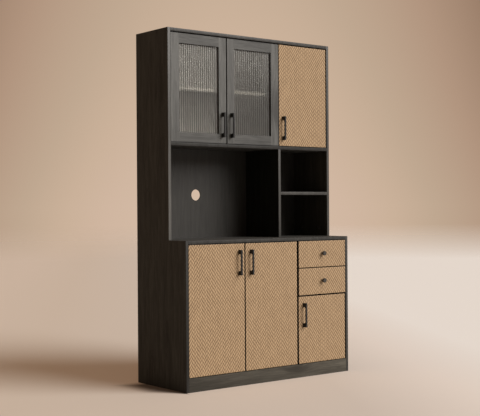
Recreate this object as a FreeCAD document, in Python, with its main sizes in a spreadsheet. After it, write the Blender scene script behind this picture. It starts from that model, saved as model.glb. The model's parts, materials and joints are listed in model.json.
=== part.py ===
import FreeCAD, Part
import Sketcher
import os
import re

# Kitchen cabinet: a base with three doors and two drawers, and a shallower hutch on top of it
# with an open bay, two ribbed-glass doors and one plain door.
# X runs to the right, Y to the back, Z up. The origin is on the floor, under the middle of the
# whole box, handles included. All sizes are millimetres.

SIZES = {
    # carcase
    "width": 1090,
    "total_height": 1800,
    "base_height": 740,
    "base_depth": 430,
    "hutch_depth": 286,
    "board": 16,
    "back_sheet": 6,
    "plinth_height": 69,
    "column_split": 726,
    "display_height": 473,
    "open_shelf_share": 0.5,
    "cable_hole_radius": 30,
    "cable_hole_share": 0.486,
    "cable_hole_shift": 5,
    # loose shelves and their pins
    "base_shelf_share": 0.5,
    "hutch_shelf_share": 0.5,
    "shelf_play": 1,
    "shelf_setback": 12,
    "shelf_pin_radius": 2.5,
    "shelf_pin_seat": 8,
    "shelf_pin_reach": 9,
    "shelf_pin_inset": 40,
    # doors and their gaps
    "door_thick": 16,
    "door_recess": 4,
    "side_gap": 4,
    "meeting_gap": 7.5,
    "base_split_gap": 12,
    "base_split_shift": 1.5,
    "hutch_split_gap": 5,
    "door_gap": 3,
    "hutch_head_gap": 6,
    "divider_clear": 4,
    # glass doors
    "hinge_stile": 52,
    "meeting_stile": 46.5,
    "frame_rail": 50,
    "glass_rebate": 8,
    "glass_rebate_depth": 9,
    "glass_play": 0.5,
    "glass_thick": 4,
    "clip_length": 15,
    "clip_width": 14,
    "clip_thick": 1,
    # pivot hinges
    "pivot_inset": 6,
    "pivot_depth": 6,
    "hinge_plate": 2,
    "hinge_plate_length": 44,
    "hinge_plate_width": 12,
    "hinge_bracket_reach": 25,
    "hinge_leaf": 2,
    "hinge_leaf_length": 40,
    "hinge_leaf_width": 10,
    "hinge_pin_radius": 2.5,
    "hinge_pin_grip": 6,
    "hinge_pin_play": 0.05,
    "hinge_bore_play": 0.6,
    "hinge_shoulder_radius": 4.5,
    # magnetic catches that stop the doors
    "catch_length": 46,
    "catch_depth": 14,
    "catch_height": 13,
    "catch_inset": 30,
    "catch_play": 0.3,
    # handles
    "handle_length": 128,
    "handle_reach": 25,
    "handle_post": 21,
    "handle_width": 10,
    "handle_bar": 7,
    "handle_taper": 5,
    "handle_round": 1.5,
    "handle_inset": 34,
    "handle_offset": 34,
    "hutch_handle_inset": 25.5,
    "hutch_handle_offset": 31.5,
    # drawers
    "drawer_front_height": 141,
    "drawer_gap": 5,
    "rail_gap": 8,
    "drawer_recess": 1,
    "drawer_side_gap": 2.5,
    "drawer_box_length": 370,
    "drawer_box_height": 96,
    "drawer_box_rise": 18,
    "drawer_board": 12,
    "drawer_bottom": 5,
    "drawer_groove": 6,
    "drawer_groove_rise": 9,
    # drawer slides
    "slide_space": 12.5,
    "slide_height": 35,
    "slide_length": 350,
    "slide_wall": 1.5,
    "slide_play": 0.3,
    "slide_start": 6,
    # knobs
    "knob_reach": 22,
    "knob_foot_radius": 6,
    "knob_foot": 3,
    "knob_neck_radius": 4.5,
    "knob_neck": 11,
    "knob_head_radius": 12,
    "knob_edge": 2,
    "knob_lift": 2,
    # cam locks, their bolts, dowels and tie plates
    "cam_radius": 7.5,
    "cam_depth": 12.5,
    "cam_inset": 24,
    "cam_bolt_radius": 3,
    "cam_bolt_play": 0.3,
    "cam_bolt_seat": 10,
    "dowel_radius": 4,
    "dowel_half": 20,
    "tie_plate": 1.5,
    "tie_plate_width": 14,
    "tie_plate_half": 40,
}

# Places worked out from the sizes, each a formula in words that are named above or below.
PLACES = {
    "left": "0 - width / 2",
    "right": "width / 2",
    "inner_left": "left + board",
    "inner_right": "right - board",
    "split": "left + column_split",
    "divider_left": "split - board / 2",
    "divider_right": "split + board / 2",
    "front": "(handle_reach - door_recess - base_depth - tie_plate) / 2",
    "back": "front + base_depth",
    "back_inner": "back - back_sheet",
    "hutch_front": "back - hutch_depth",
    "base_door_face": "front + door_recess",
    "hutch_door_face": "hutch_front + door_recess",
    "base_divider_front": "base_door_face + door_thick + divider_clear",
    "hutch_divider_front": "hutch_door_face + door_thick + divider_clear",
    "base_shelf_front": "base_divider_front + shelf_setback",
    "hutch_shelf_front": "hutch_divider_front + shelf_setback",
    "base_bottom_under": "plinth_height - board",
    "base_top_under": "base_height - board",
    "hutch_deck_under": "base_height + display_height",
    "hutch_deck_top": "hutch_deck_under + board",
    "hutch_top_under": "total_height - board",
    "open_shelf_under": "base_height + (display_height - board) * open_shelf_share",
    "base_shelf_under": "plinth_height + (base_top_under - board - plinth_height) * base_shelf_share",
    "hutch_shelf_under": "hutch_deck_top + (hutch_top_under - board - hutch_deck_top) * hutch_shelf_share",
    "cable_hole_level": "base_height + display_height * cable_hole_share",
    "pair_left": "inner_left + side_gap",
    "column_right": "inner_right - side_gap",
    "base_pair_right": "split + base_split_shift - base_split_gap / 2",
    "hutch_pair_right": "split - hutch_split_gap / 2",
    "base_column_left": "split + base_split_shift + base_split_gap / 2",
    "hutch_column_left": "split + hutch_split_gap / 2",
    "base_leaf": "(base_pair_right - pair_left - meeting_gap) / 2",
    "hutch_leaf": "(hutch_pair_right - pair_left - meeting_gap) / 2",
    "base_door_low": "plinth_height + door_gap",
    "base_door_high": "base_top_under - door_gap",
    "hutch_door_low": "hutch_deck_top + door_gap",
    "hutch_door_high": "hutch_top_under - hutch_head_gap",
    "upper_front_low": "base_door_high - drawer_front_height",
    "lower_front_high": "upper_front_low - drawer_gap",
    "lower_front_low": "lower_front_high - drawer_front_height",
    "column_door_high": "lower_front_low - rail_gap",
    "base_deck_under": "column_door_high + door_gap",
    "base_deck_top": "base_deck_under + board",
    "drawer_face": "front + drawer_recess",
    "drawer_front_rear": "drawer_face + door_thick",
    "drawer_front_right": "inner_right - drawer_side_gap",
    "drawer_rear": "drawer_front_rear + drawer_box_length",
    "drawer_left": "divider_right + slide_space",
    "drawer_right": "inner_right - slide_space",
    "slide_near": "base_divider_front + slide_start",
    "slide_far": "slide_near + slide_length",
    "catch_setback": "door_thick + catch_play",
}

# Where the fittings sit along the boards that they join, as shares of each board's length.
CAM_SHARES = (0.2, 0.8)
DOWEL_SHARES = (0.25, 0.75)
CLIP_SHARES = (0.2, 0.8)

doc = FreeCAD.newDocument("kitchen_cabinet")
sheet = doc.addObject("Spreadsheet::Sheet", "dims")
for row, (alias, value) in enumerate(SIZES.items(), start=1):
    sheet.set(f"A{row}", alias)
    sheet.set(f"B{row}", str(value))
    sheet.setAlias(f"B{row}", alias)
doc.recompute()

nodes = {}
fittings = {}
bores = {}

FORMULA_WORD = re.compile(r"[a-z][a-z_]+")
TURN_FROM_Z = {
    "x": FreeCAD.Rotation(FreeCAD.Vector(0, 0, 1), FreeCAD.Vector(1, 0, 0)),
    "y": FreeCAD.Rotation(FreeCAD.Vector(0, 0, 1), FreeCAD.Vector(0, 1, 0)),
    "z": FreeCAD.Rotation(),
}


def formula(text):
    """Spell out a formula: places turn into their own formulas, sizes into sheet cells."""
    def spell(match):
        word = match.group(0)
        return f"({formula(PLACES[word])})" if word in PLACES else f"dims.{word}"
    return FORMULA_WORD.sub(spell, text)


def keep(label, thing):
    """Name a finished sub-part and list it for writing."""
    thing.Label = label
    nodes[label] = thing
    return thing


def place(thing, point):
    """Tie the placement of a shape to three formulas."""
    for axis, text in zip("xyz", point):
        thing.setExpression(f"Placement.Base.{axis}", formula(text))


def block(spans):
    """A box between two formulas on each of X, Y and Z."""
    box = doc.addObject("Part::Box", "block")
    for side, (low, high) in zip(("Length", "Width", "Height"), spans):
        box.setExpression(side, formula(f"({high}) - ({low})"))
    place(box, [low for low, high in spans])
    return box


def rod(axis, point, length, radius):
    """A cylinder that starts at a point and runs along +X, +Y or +Z."""
    cylinder = doc.addObject("Part::Cylinder", "rod")
    cylinder.setExpression("Radius", formula(radius))
    cylinder.setExpression("Height", formula(length))
    cylinder.Placement.Rotation = TURN_FROM_Z[axis]
    place(cylinder, point)
    return cylinder


def cut(solid, tools):
    """Take one or more tools out of a solid."""
    result = doc.addObject("Part::Cut", "cut")
    result.Base = solid
    if len(tools) == 1:
        result.Tool = tools[0]
    else:
        result.Tool = doc.addObject("Part::MultiFuse", "tools")
        result.Tool.Shapes = tools
    return result


def fuse(first, second):
    """Join two solids into one piece."""
    result = doc.addObject("Part::Fuse", "fuse")
    result.Base = first
    result.Tool = second
    return result


def group(label, solids):
    """Several separate solids of one kind under one name."""
    compound = doc.addObject("Part::Compound", "group")
    compound.Links = solids
    return keep(label, compound)


def between(low, high, share):
    """A formula for the point at a share of the way from low to high."""
    return f"({low}) + (({high}) - ({low})) * {share}"


def middle(low, high):
    """A formula for the point half-way between two others."""
    return f"(({low}) + ({high})) / 2"


def bore(label, tool):
    """Remember a hole that a board gets when it is finished."""
    bores.setdefault(label, []).append(tool)


def fitting(label, solid):
    """Remember one solid of a group of like fittings."""
    fittings.setdefault(label, []).append(solid)


# Carcase boards: name to its spans on X, Y and Z.
BOARDS = {
    "base_left_side": (("left", "inner_left"), ("front", "back"), ("0", "base_height")),
    "base_right_side": (("inner_right", "right"), ("front", "back"), ("0", "base_height")),
    "base_top": (("inner_left", "inner_right"), ("front", "back_inner"), ("base_top_under", "base_height")),
    "base_bottom": (("inner_left", "inner_right"), ("front + board", "back_inner"),
                    ("base_bottom_under", "plinth_height")),
    "base_plinth": (("inner_left", "inner_right"), ("front", "front + board"), ("0", "plinth_height")),
    "base_back_panel": (("inner_left", "inner_right"), ("back_inner", "back"),
                        ("base_bottom_under", "base_height")),
    "base_divider": (("divider_left", "divider_right"), ("base_divider_front", "back_inner"),
                     ("plinth_height", "base_top_under")),
    "base_drawer_deck": (("divider_right", "inner_right"), ("base_divider_front", "back_inner"),
                         ("base_deck_under", "base_deck_top")),
    "hutch_left_side": (("left", "inner_left"), ("hutch_front", "back"), ("base_height", "total_height")),
    "hutch_right_side": (("inner_right", "right"), ("hutch_front", "back"), ("base_height", "total_height")),
    "hutch_top": (("inner_left", "inner_right"), ("hutch_front", "back_inner"),
                  ("hutch_top_under", "total_height")),
    "hutch_deck": (("inner_left", "inner_right"), ("hutch_front", "back_inner"),
                   ("hutch_deck_under", "hutch_deck_top")),
    "hutch_back_panel": (("inner_left", "inner_right"), ("back_inner", "back"),
                         ("base_height", "total_height")),
    "hutch_upper_divider": (("divider_left", "divider_right"), ("hutch_divider_front", "back_inner"),
                            ("hutch_deck_top", "hutch_top_under")),
    "hutch_lower_divider": (("divider_left", "divider_right"), ("hutch_front", "back_inner"),
                            ("base_height", "hutch_deck_under")),
    "hutch_open_shelf": (("divider_right", "inner_right"), ("hutch_front", "back_inner"),
                         ("open_shelf_under", "open_shelf_under + board")),
}

# Cam locks: the boards that they draw to the sides, and the side panels at the left and right end.
CAM_BOARDS = {
    "base_top": ("base_left_side", "base_right_side"),
    "base_bottom": ("base_left_side", "base_right_side"),
    "hutch_top": ("hutch_left_side", "hutch_right_side"),
    "hutch_deck": ("hutch_left_side", "hutch_right_side"),
}

for label, sides in CAM_BOARDS.items():
    (x_low, x_high), (y_low, y_high), (z_low, z_high) = BOARDS[label]
    for share in CAM_SHARES:
        y = between(y_low, y_high, share)
        z = middle(z_low, z_high)
        shaft = "cam_bolt_seat + cam_inset - cam_radius"
        ends = ((sides[0], f"{x_low} + cam_inset", f"{x_low} - cam_bolt_seat"),
                (sides[1], f"{x_high} - cam_inset", f"{x_high} - cam_inset + cam_radius"))
        for side, cam_x, bolt_x in ends:
            fitting("cam_locks", rod("z", (cam_x, y, z_low), "cam_depth", "cam_radius"))
            bore(label, rod("z", (cam_x, y, z_low), "cam_depth", "cam_radius"))
            fitting("cam_bolts", rod("x", (bolt_x, y, z), shaft, "cam_bolt_radius"))
            bore(label, rod("x", (bolt_x, y, z), shaft, "cam_bolt_radius + cam_bolt_play"))
            bore(side, rod("x", (bolt_x, y, z), shaft, "cam_bolt_radius"))

# Dowels stand in the seam between the base's sides and the hutch's sides, tie plates behind it.
SEAMS = (
    ("base_left_side", "hutch_left_side", middle("left", "inner_left")),
    ("base_right_side", "hutch_right_side", middle("inner_right", "right")),
)

for lower, upper, x in SEAMS:
    for share in DOWEL_SHARES:
        foot = (x, between("hutch_front", "back", share), "base_height - dowel_half")
        fitting("seam_dowels", rod("z", foot, "2 * dowel_half", "dowel_radius"))
        bore(lower, rod("z", foot, "2 * dowel_half", "dowel_radius"))
        bore(upper, rod("z", foot, "2 * dowel_half", "dowel_radius"))
    fitting("tie_plates", block(((f"{x} - tie_plate_width / 2", f"{x} + tie_plate_width / 2"),
                                 ("back", "back + tie_plate"),
                                 ("base_height - tie_plate_half", "base_height + tie_plate_half"))))

# The cable hole goes through the back of the open bay, just to the right of its middle.
cable_x = f"{middle('inner_left', 'divider_left')} + cable_hole_shift"
bore("hutch_back_panel",
     rod("y", (cable_x, "back_inner", "cable_hole_level"), "back_sheet", "cable_hole_radius"))

# Loose shelves: name to its side boards, the space between them, its front and its underside.
SHELVES = {
    "base_shelf": ("base_left_side", "base_divider", "inner_left", "divider_left",
                   "base_shelf_front", "base_shelf_under"),
    "hutch_left_shelf": ("hutch_left_side", "hutch_upper_divider", "inner_left", "divider_left",
                         "hutch_shelf_front", "hutch_shelf_under"),
    "hutch_right_shelf": ("hutch_upper_divider", "hutch_right_side", "divider_right", "inner_right",
                          "hutch_shelf_front", "hutch_shelf_under"),
}

for label, (left_board, right_board, x_low, x_high, y_front, z_under) in SHELVES.items():
    y_rear = "back_inner - shelf_play"
    keep(label, block(((f"{x_low} + shelf_play", f"{x_high} - shelf_play"), (y_front, y_rear),
                       (z_under, f"{z_under} + board"))))
    pin_z = f"{z_under} - shelf_pin_radius"
    for y in (f"{y_front} + shelf_pin_inset", f"{y_rear} - shelf_pin_inset"):
        ends = ((left_board, f"{x_low} - shelf_pin_seat"), (right_board, f"{x_high} - shelf_pin_reach"))
        for side_board, x in ends:
            pin = ((x, y, pin_z), "shelf_pin_seat + shelf_pin_reach", "shelf_pin_radius")
            fitting("shelf_pins", rod("x", *pin))
            bore(side_board, rod("x", *pin))

for label, spans in BOARDS.items():
    blank = block(spans)
    keep(label, cut(blank, bores[label]) if label in bores else blank)


def new_body(name):
    """An empty sketched piece."""
    return doc.addObject("PartDesign::Body", name)


def sketch_loops(body, loops):
    """A sketch on the body's XZ plane: closed loops of straight lines through (x, z) formulas."""
    sketch = body.newObject("Sketcher::SketchObject", "outline")
    plane = [item for item in body.Origin.OriginFeatures if item.Role == "XZ_Plane"][0]
    sketch.AttachmentSupport = [(plane, "")]
    sketch.MapMode = "FlatFace"
    for loop in loops:
        first = sketch.GeometryCount
        count = len(loop)
        # A rough regular polygon to start from: the named distances below then pull it into shape.
        for corner in range(count):
            start = FreeCAD.Vector(1, 0, 0)
            end = FreeCAD.Vector(1, 0, 0)
            turn = FreeCAD.Rotation(FreeCAD.Vector(0, 0, 1), 360 * corner / count)
            next_turn = FreeCAD.Rotation(FreeCAD.Vector(0, 0, 1), 360 * (corner + 1) / count)
            sketch.addGeometry(Part.LineSegment(turn.multVec(start), next_turn.multVec(end)), False)
        for corner in range(count):
            line = first + corner
            next_line = first + (corner + 1) % count
            sketch.addConstraint(Sketcher.Constraint("Coincident", line, 2, next_line, 1))
            for kind, text in zip(("DistanceX", "DistanceY"), loop[corner]):
                index = sketch.addConstraint(Sketcher.Constraint(kind, -1, 1, line, 1, 1))
                sketch.setExpression(f"Constraints[{index}]", formula(text))
    return sketch


def pad(body, sketch, width):
    """Thicken a sketch evenly to both sides of its plane."""
    feature = body.newObject("PartDesign::Pad", "pad")
    feature.Profile = sketch
    feature.SideType = "Symmetric"
    feature.setExpression("Length", formula(width))
    return feature


def round_edges(body, base, radius):
    """Round every edge of a sketched piece."""
    doc.recompute()
    feature = body.newObject("PartDesign::Fillet", "round")
    feature.Base = (base, [])
    feature.UseAllEdges = True
    feature.setExpression("Radius", formula(radius))


def handle(label, x, face, z_low):
    """A bow handle: a slim bar between two thicker posts, standing out from a door face."""
    body = new_body("handle")
    top = "handle_length"
    under_bar = "handle_reach - handle_bar"
    shoulder = f"{under_bar} - handle_taper"
    bow = [("0", "0"), ("handle_reach", "0"), ("handle_reach", top), ("0", top),
           ("0", f"{top} - handle_post"), (shoulder, f"{top} - handle_post"),
           (under_bar, f"{top} - handle_post - handle_taper"), (under_bar, "handle_post + handle_taper"),
           (shoulder, "handle_post"), ("0", "handle_post")]
    round_edges(body, pad(body, sketch_loops(body, [bow]), "handle_width"), "handle_round")
    body.Placement.Rotation = FreeCAD.Rotation(FreeCAD.Vector(1, 0, 0), FreeCAD.Vector(0, -1, 0))
    place(body, (x, face, z_low))
    keep(label, body)


def knob(label, x, face, z):
    """A turned knob: foot, neck and a flat round head, revolved about its own axis."""
    body = new_body("knob")
    profile = [("0", "0"), ("knob_foot_radius", "0"), ("knob_foot_radius", "knob_foot"),
               ("knob_neck_radius", "knob_foot + knob_edge"), ("knob_neck_radius", "knob_neck"),
               ("knob_head_radius", "knob_neck + knob_edge"),
               ("knob_head_radius", "knob_reach - knob_edge"),
               ("knob_head_radius - knob_edge", "knob_reach"), ("0", "knob_reach")]
    sketch = sketch_loops(body, [profile])
    feature = body.newObject("PartDesign::Revolution", "turned")
    feature.Profile = sketch
    feature.ReferenceAxis = (sketch, ["V_Axis"])
    feature.Angle = 360
    body.Placement.Rotation = FreeCAD.Rotation(FreeCAD.Vector(0, 0, 1), FreeCAD.Vector(0, -1, 0))
    place(body, (x, face, z))
    keep(label, body)


def hinge_pair(label, door, above, below, bracket=None):
    """Pivot hinges in the top and bottom edge of a door, between the boards above and below it.

    Fixed plates with pins go to the carcase, leaves with running bores to the door.
    Returns the pockets and bores that the door needs.
    """
    y = f"{door['face']} + pivot_depth"
    if door["hinge"] == "left":
        edge = door["x"][0]
        x = f"{edge} + pivot_inset"
        plate_x = (edge, f"{edge} + hinge_plate_length")
        leaf_x = (edge, f"{edge} + hinge_leaf_length")
    else:
        edge = door["x"][1]
        x = f"{edge} - pivot_inset"
        plate_x = (f"{edge} - hinge_plate_length", edge)
        leaf_x = (f"{edge} - hinge_leaf_length", edge)
    plate_y = (f"{y} - hinge_plate_width / 2", f"{y} + hinge_plate_width / 2")
    leaf_y = (f"{y} - hinge_leaf_width / 2", f"{y} + hinge_leaf_width / 2")
    low, high = door["z"]

    # Lower hinge: the shoulder on its pin carries the door.
    pin_length = f"{low} + hinge_leaf + hinge_pin_grip - ({below})"
    pin = rod("z", (x, y, below), pin_length, "hinge_pin_radius")
    shoulder = rod("z", (x, y, f"{below} + hinge_plate"), f"{low} - ({below}) - hinge_plate",
                   "hinge_shoulder_radius")
    fitting("hinge_pins", fuse(pin, shoulder))
    plate = block((plate_x, plate_y, (below, f"{below} + hinge_plate")))
    fitting("hinge_plates", cut(plate, [rod("z", (x, y, below), "hinge_plate", "hinge_pin_radius")]))

    # Upper hinge: where no board reaches over the door, a longer bracket comes out from the deck.
    pin_foot = f"{high} - hinge_leaf - hinge_pin_grip"
    fitting("hinge_pins", rod("z", (x, y, pin_foot), f"{above} - ({pin_foot})", "hinge_pin_radius"))
    plate_foot = f"{above} - hinge_plate"
    if bracket:
        plate_x = (f"{x} - hinge_plate_width / 2", f"{x} + hinge_plate_width / 2")
        plate_y = (plate_y[0], bracket)
    plate = block((plate_x, plate_y, (plate_foot, above)))
    fitting("hinge_plates", cut(plate, [rod("z", (x, y, plate_foot), "hinge_plate", "hinge_pin_radius")]))

    leaves = []
    tools = []
    bore_depth = "hinge_pin_grip + hinge_bore_play"
    bore_radius = "hinge_pin_radius + hinge_bore_play"
    ends = ((low, f"{low} + hinge_leaf"), (f"{high} - hinge_leaf", f"{high} - hinge_leaf - ({bore_depth})"))
    for leaf_z, bore_z in ends:
        span = (leaf_x, leaf_y, (leaf_z, f"{leaf_z} + hinge_leaf"))
        hole = rod("z", (x, y, leaf_z), "hinge_leaf", "hinge_pin_radius + hinge_pin_play")
        leaves.append(cut(block(span), [hole]))
        tools.append(block(span))
        tools.append(rod("z", (x, y, bore_z), bore_depth, bore_radius))
    group(f"{label}_hinge_leaves", leaves)
    return tools


def door_handle(label, door):
    """Fix a handle near the free edge of a door."""
    x_low, x_high = door["x"]
    inset = "hutch_handle_inset" if door["hutch"] else "handle_inset"
    x = f"{x_high} - {inset}" if door["hinge"] == "left" else f"{x_low} + {inset}"
    low, high = door["z"]
    z_low = f"{low} + hutch_handle_offset" if door["hutch"] else f"{high} - handle_offset - handle_length"
    handle(f"{label}_handle", x, door["face"], z_low)


def door_catch(door, above):
    """A magnetic catch under the board above a door stops it at its free edge."""
    x_low, x_high = door["x"]
    if door["hinge"] == "left":
        x_span = (f"{x_high} - catch_inset - catch_length", f"{x_high} - catch_inset")
    else:
        x_span = (f"{x_low} + catch_inset", f"{x_low} + catch_inset + catch_length")
    near = f"{door['face']} + catch_setback"
    y_span = (near, f"{near} + catch_depth")
    fitting("door_catches", block((x_span, y_span, (f"{above} - catch_height", above))))


def panel_door(label, door, tools):
    """A plain board door."""
    face = door["face"]
    blank = block((door["x"], (face, f"{face} + door_thick"), door["z"]))
    keep(f"{label}_panel", cut(blank, tools))


def glass_door(label, door, tools):
    """A frame of two stiles and two rails round a glass pane in a rebate, held by beads and clips."""
    x_low, x_high = door["x"]
    z_low, z_high = door["z"]
    face = door["face"]
    rear = f"{face} + door_thick"
    stiles = ("hinge_stile", "meeting_stile")
    left_stile, right_stile = stiles if door["hinge"] == "left" else reversed(stiles)
    open_x = (f"{x_low} + {left_stile}", f"{x_high} - {right_stile}")
    open_z = (f"{z_low} + frame_rail", f"{z_high} - frame_rail")
    wide_x = (f"{open_x[0]} - glass_rebate", f"{open_x[1]} + glass_rebate")
    wide_z = (f"{open_z[0]} - glass_rebate", f"{open_z[1]} + glass_rebate")
    rebate_y = (f"{rear} - glass_rebate_depth", rear)
    glass_y = (rebate_y[0], f"{rebate_y[0]} + glass_thick")
    bead_y = (glass_y[1], rear)
    members = {
        "left": ((x_low, open_x[0]), door["z"]),
        "right": ((open_x[1], x_high), door["z"]),
        "bottom": (open_x, (z_low, open_z[0])),
        "top": (open_x, (open_z[1], z_high)),
    }
    solids = []
    for side, (x_span, z_span) in members.items():
        rebate = block((wide_x, rebate_y, wide_z))
        extra = tools if side == door["hinge"] else []
        solids.append(cut(block((x_span, (face, rear), z_span)), [rebate] + extra))
    group(f"{label}_frame", solids)
    keep(f"{label}_pane", block(((f"{wide_x[0]} + glass_play", f"{wide_x[1]} - glass_play"), glass_y,
                                 (f"{wide_z[0]} + glass_play", f"{wide_z[1]} - glass_play"))))
    # Four beads fill the rebate behind the pane, and turned clips keep them in.
    holders = [
        block(((wide_x[0], open_x[0]), bead_y, wide_z)),
        block(((open_x[1], wide_x[1]), bead_y, wide_z)),
        block((open_x, bead_y, (wide_z[0], open_z[0]))),
        block((open_x, bead_y, (open_z[1], wide_z[1]))),
    ]
    for x in wide_x:
        for share in CLIP_SHARES:
            z = between(*wide_z, share)
            holders.append(block(((f"{x} - clip_length / 2", f"{x} + clip_length / 2"),
                                  (rear, f"{rear} + clip_thick"),
                                  (f"{z} - clip_width / 2", f"{z} + clip_width / 2"))))
    group(f"{label}_clips", holders)


base_z = ("base_door_low", "base_door_high")
hutch_z = ("hutch_door_low", "hutch_door_high")
DOORS = {
    "base_left_door": {"x": ("pair_left", "pair_left + base_leaf"), "z": base_z, "hinge": "left",
                       "hutch": False},
    "base_middle_door": {"x": ("base_pair_right - base_leaf", "base_pair_right"), "z": base_z,
                         "hinge": "right", "hutch": False},
    "base_right_door": {"x": ("base_column_left", "column_right"), "z": ("base_door_low", "column_door_high"),
                        "hinge": "right", "hutch": False},
    "hutch_left_door": {"x": ("pair_left", "pair_left + hutch_leaf"), "z": hutch_z, "hinge": "left",
                        "hutch": True},
    "hutch_middle_door": {"x": ("hutch_pair_right - hutch_leaf", "hutch_pair_right"), "z": hutch_z,
                          "hinge": "right", "hutch": True},
    "hutch_right_door": {"x": ("hutch_column_left", "column_right"), "z": hutch_z, "hinge": "right",
                         "hutch": True},
}
GLASS_DOORS = ("hutch_left_door", "hutch_middle_door")

for label, door in DOORS.items():
    door["face"] = "hutch_door_face" if door["hutch"] else "base_door_face"
    below = "hutch_deck_top" if door["hutch"] else "plinth_height"
    above = "hutch_top_under" if door["hutch"] else "base_top_under"
    bracket = None
    if label == "base_right_door":
        above = "base_deck_under"
        bracket = "base_divider_front + hinge_bracket_reach"
    tools = hinge_pair(label, door, above, below, bracket)
    make_door = glass_door if label in GLASS_DOORS else panel_door
    make_door(label, door, tools)
    door_handle(label, door)
    door_catch(door, above)


def drawer_slides(label, z):
    """A pair of slides: channels fixed to the cabinet, and bars on the drawer that run in them."""
    channel_z = (f"{z} - slide_height / 2", f"{z} + slide_height / 2")
    slot_z = (f"{channel_z[0]} + slide_wall", f"{channel_z[1]} - slide_wall")
    bar_z = (f"{slot_z[0]} + slide_play", f"{slot_z[1]} - slide_play")
    run = ("slide_near", "slide_far")
    left_spans = (("divider_right", "drawer_left - slide_play"),
                  ("divider_right + slide_wall", "drawer_left"),
                  ("divider_right + slide_wall + slide_play", "drawer_left"))
    right_spans = (("drawer_right + slide_play", "inner_right"),
                   ("drawer_right", "inner_right - slide_wall"),
                   ("drawer_right", "inner_right - slide_wall - slide_play"))
    bars = []
    for channel_x, slot_x, bar_x in (left_spans, right_spans):
        slot = block((slot_x, run, slot_z))
        fitting("drawer_slide_channels", cut(block((channel_x, run, channel_z)), [slot]))
        bars.append(block((bar_x, run, bar_z)))
    group(f"{label}_slide_bars", bars)


def drawer(label, low, high):
    """A drawer: front, box of two sides and a back, bottom in a groove, slide bars and knob."""
    x_span = ("base_column_left", "drawer_front_right")
    box_low = f"{low} + drawer_box_rise"
    box_high = f"{box_low} + drawer_box_height"
    floor = f"{box_low} + drawer_groove_rise"
    inner_x = ("drawer_left + drawer_board", "drawer_right - drawer_board")
    box_y = ("drawer_front_rear", "drawer_rear")
    sheet_spans = ((f"{inner_x[0]} - drawer_groove", f"{inner_x[1]} + drawer_groove"),
                   ("drawer_front_rear - drawer_groove", "drawer_rear"),
                   (floor, f"{floor} + drawer_bottom"))
    front = block((x_span, ("drawer_face", "drawer_front_rear"), (low, high)))
    keep(f"{label}_front", cut(front, [block(sheet_spans)]))
    left = block((("drawer_left", inner_x[0]), box_y, (box_low, box_high)))
    right = block(((inner_x[1], "drawer_right"), box_y, (box_low, box_high)))
    back_y = ("drawer_rear - drawer_board", "drawer_rear")
    back = block((inner_x, back_y, (f"{floor} + drawer_bottom", box_high)))
    group(f"{label}_box", [cut(left, [block(sheet_spans)]), cut(right, [block(sheet_spans)]), back])
    keep(f"{label}_bottom", block(sheet_spans))
    drawer_slides(label, middle(box_low, box_high))
    knob(f"{label}_knob", middle(*x_span), "drawer_face", f"{middle(low, high)} + knob_lift")


drawer("upper_drawer", "upper_front_low", "base_door_high")
drawer("lower_drawer", "lower_front_low", "lower_front_high")

for label, solids in fittings.items():
    group(label, solids)

doc.recompute()
for thing in doc.Objects:
    if "Invalid" in thing.State or "Error" in thing.State:
        raise RuntimeError(f"{thing.Label} ({thing.Name}) failed: {thing.State}")
for label, thing in nodes.items():
    if thing.Shape.isNull() or not thing.Shape.isValid():
        raise RuntimeError(f"{label} has no valid shape")

os.makedirs("parts", exist_ok=True)
for label, thing in nodes.items():
    thing.Shape.exportStep(f"parts/{label}.step")
    print(label, len(thing.Shape.Solids), round(thing.Shape.Volume))
print(len(nodes), "sub-parts")
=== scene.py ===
# %% [markdown]
# # A two-part kitchen cabinet
#
# The cabinet is a low base with doors and drawers and a shallower hutch on top of it. Its boards, doors,
# hinges and slides come from a construction model, which is loaded here as a fixed frame. This lesson
# dresses that frame: it adds the surfaces that a drawing of boards leaves out, gives every board and fitting
# a finish, and sets up light and camera. Everything is in metres, X to the right, Y to the back, Z up.

# %% Load the frame
import json

import bpy
import numpy as np
from mathutils import Matrix, Vector

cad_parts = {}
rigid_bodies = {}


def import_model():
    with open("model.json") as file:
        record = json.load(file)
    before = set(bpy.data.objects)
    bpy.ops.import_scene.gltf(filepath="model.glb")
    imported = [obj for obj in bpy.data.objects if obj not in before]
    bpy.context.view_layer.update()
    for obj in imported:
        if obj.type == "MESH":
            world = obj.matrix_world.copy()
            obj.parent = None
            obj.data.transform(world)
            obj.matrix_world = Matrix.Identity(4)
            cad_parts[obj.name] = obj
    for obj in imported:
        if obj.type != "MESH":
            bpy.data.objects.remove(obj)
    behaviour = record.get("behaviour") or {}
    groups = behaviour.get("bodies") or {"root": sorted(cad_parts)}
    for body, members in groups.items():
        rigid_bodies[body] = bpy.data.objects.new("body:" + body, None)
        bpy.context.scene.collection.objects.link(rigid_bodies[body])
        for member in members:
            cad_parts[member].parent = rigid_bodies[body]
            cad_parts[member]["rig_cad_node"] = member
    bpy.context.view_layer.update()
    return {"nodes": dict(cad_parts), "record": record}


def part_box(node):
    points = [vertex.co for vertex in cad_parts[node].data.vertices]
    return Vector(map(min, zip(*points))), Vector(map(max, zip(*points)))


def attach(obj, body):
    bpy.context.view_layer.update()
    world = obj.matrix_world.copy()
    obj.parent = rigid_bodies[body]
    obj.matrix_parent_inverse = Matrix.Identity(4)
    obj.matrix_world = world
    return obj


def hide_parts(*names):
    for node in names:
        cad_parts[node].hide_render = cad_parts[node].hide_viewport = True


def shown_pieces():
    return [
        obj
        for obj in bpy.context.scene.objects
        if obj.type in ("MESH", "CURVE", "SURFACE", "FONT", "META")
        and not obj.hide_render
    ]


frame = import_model()
nodes = frame["nodes"]
slot_of = {part["node"]: part["material_slot"] for part in frame["record"]["subparts"]}

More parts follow.
